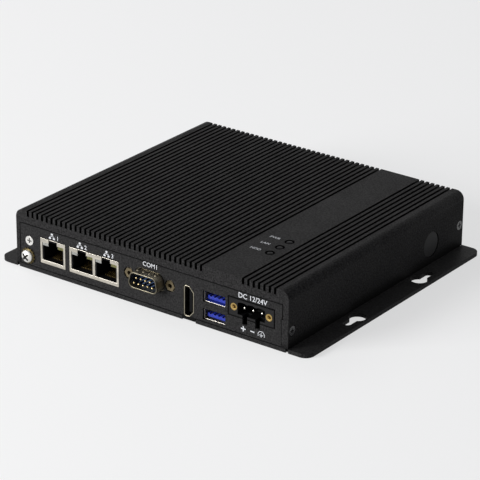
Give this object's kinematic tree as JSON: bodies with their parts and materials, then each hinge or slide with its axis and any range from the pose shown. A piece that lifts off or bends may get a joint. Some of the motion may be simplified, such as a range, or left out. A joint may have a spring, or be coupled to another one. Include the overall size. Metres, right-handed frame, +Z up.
{
  "type": "fanless industrial pc",
  "caption": "Fanless industrial computer: a finned case over a flanged base plate, with network, serial, video, usb and power ports along its front.",
  "frame": {"origin": "middle of the case's footprint, on the underside of the base plate", "axes": "+X to the right seen from the port side, +Y to the back, +Z up; the ports face -Y"},
  "size_m": [0.1888, 0.1594, 0.0313],
  "materials": {
    "black_housing": "fine matt black coating",
    "black_plate": "matt black powder coat",
    "nickel_screws": "nickel plated",
    "black_screws": "black oxide",
    "black_rubber": "matt",
    "tinned_shield": "tin plated",
    "black_moulding": "matt",
    "navy_moulding": "matt",
    "gold_contact": "gold plated",
    "lamp_window": "translucent",
    "blue_moulding": "satin",
    "brass_bush": "plain",
    "circuit_board": "green solder mask",
    "chip_package": "moulded",
    "silicone_pad": "soft",
    "steel_part": "plated",
    "capacitor_can": "satin",
    "clear_guide": "clear"
  },
  "bodies": {
    "root": {"top_housing": "black_housing", "base_plate": "black_plate", "front_panel": "black_plate", "rear_panel": "black_plate", "side_screws": "black_screws", "panel_screw": "nickel_screws", "base_screws": "black_screws", "ground_screw": "nickel_screws", "ground_washer": "nickel_screws", "side_hole_plug": "black_rubber", "antenna_hole_plugs": "black_rubber", "lan_single_shield": "tinned_shield", "lan_single_insert": "black_moulding", "lan_single_contacts": "gold_contact", "lan_single_windows": "lamp_window", "lan_dual_shield": "tinned_shield", "lan_dual_insert": "black_moulding", "lan_dual_contacts": "gold_contact", "lan_dual_windows": "lamp_window", "serial_shell": "tinned_shield", "serial_insulator": "navy_moulding", "serial_pins": "gold_contact", "serial_jackscrews": "nickel_screws", "video_port_shell": "tinned_shield", "video_port_tongue": "black_moulding", "usb_stack_shell": "tinned_shield", "usb_stack_insert": "blue_moulding", "usb_stack_contacts": "gold_contact", "power_header_body": "black_moulding", "power_header_pins": "steel_part", "power_header_bushes": "brass_bush", "mainboard": "circuit_board", "network_chips": "chip_package", "board_spacers": "brass_bush", "board_screws": "steel_part", "processor": "chip_package", "thermal_pad": "silicone_pad", "memory_socket": "black_moulding", "memory_module": "circuit_board", "storage_socket": "black_moulding", "storage_card": "circuit_board", "storage_standoff": "brass_bush", "storage_screw": "steel_part", "coin_cell_holder": "black_moulding", "coin_cell": "steel_part", "power_inductors": "chip_package", "bulk_capacitors": "capacitor_can", "status_lamps": "clear_guide", "light_guides": "clear_guide"}
  },
  "joints": []
}
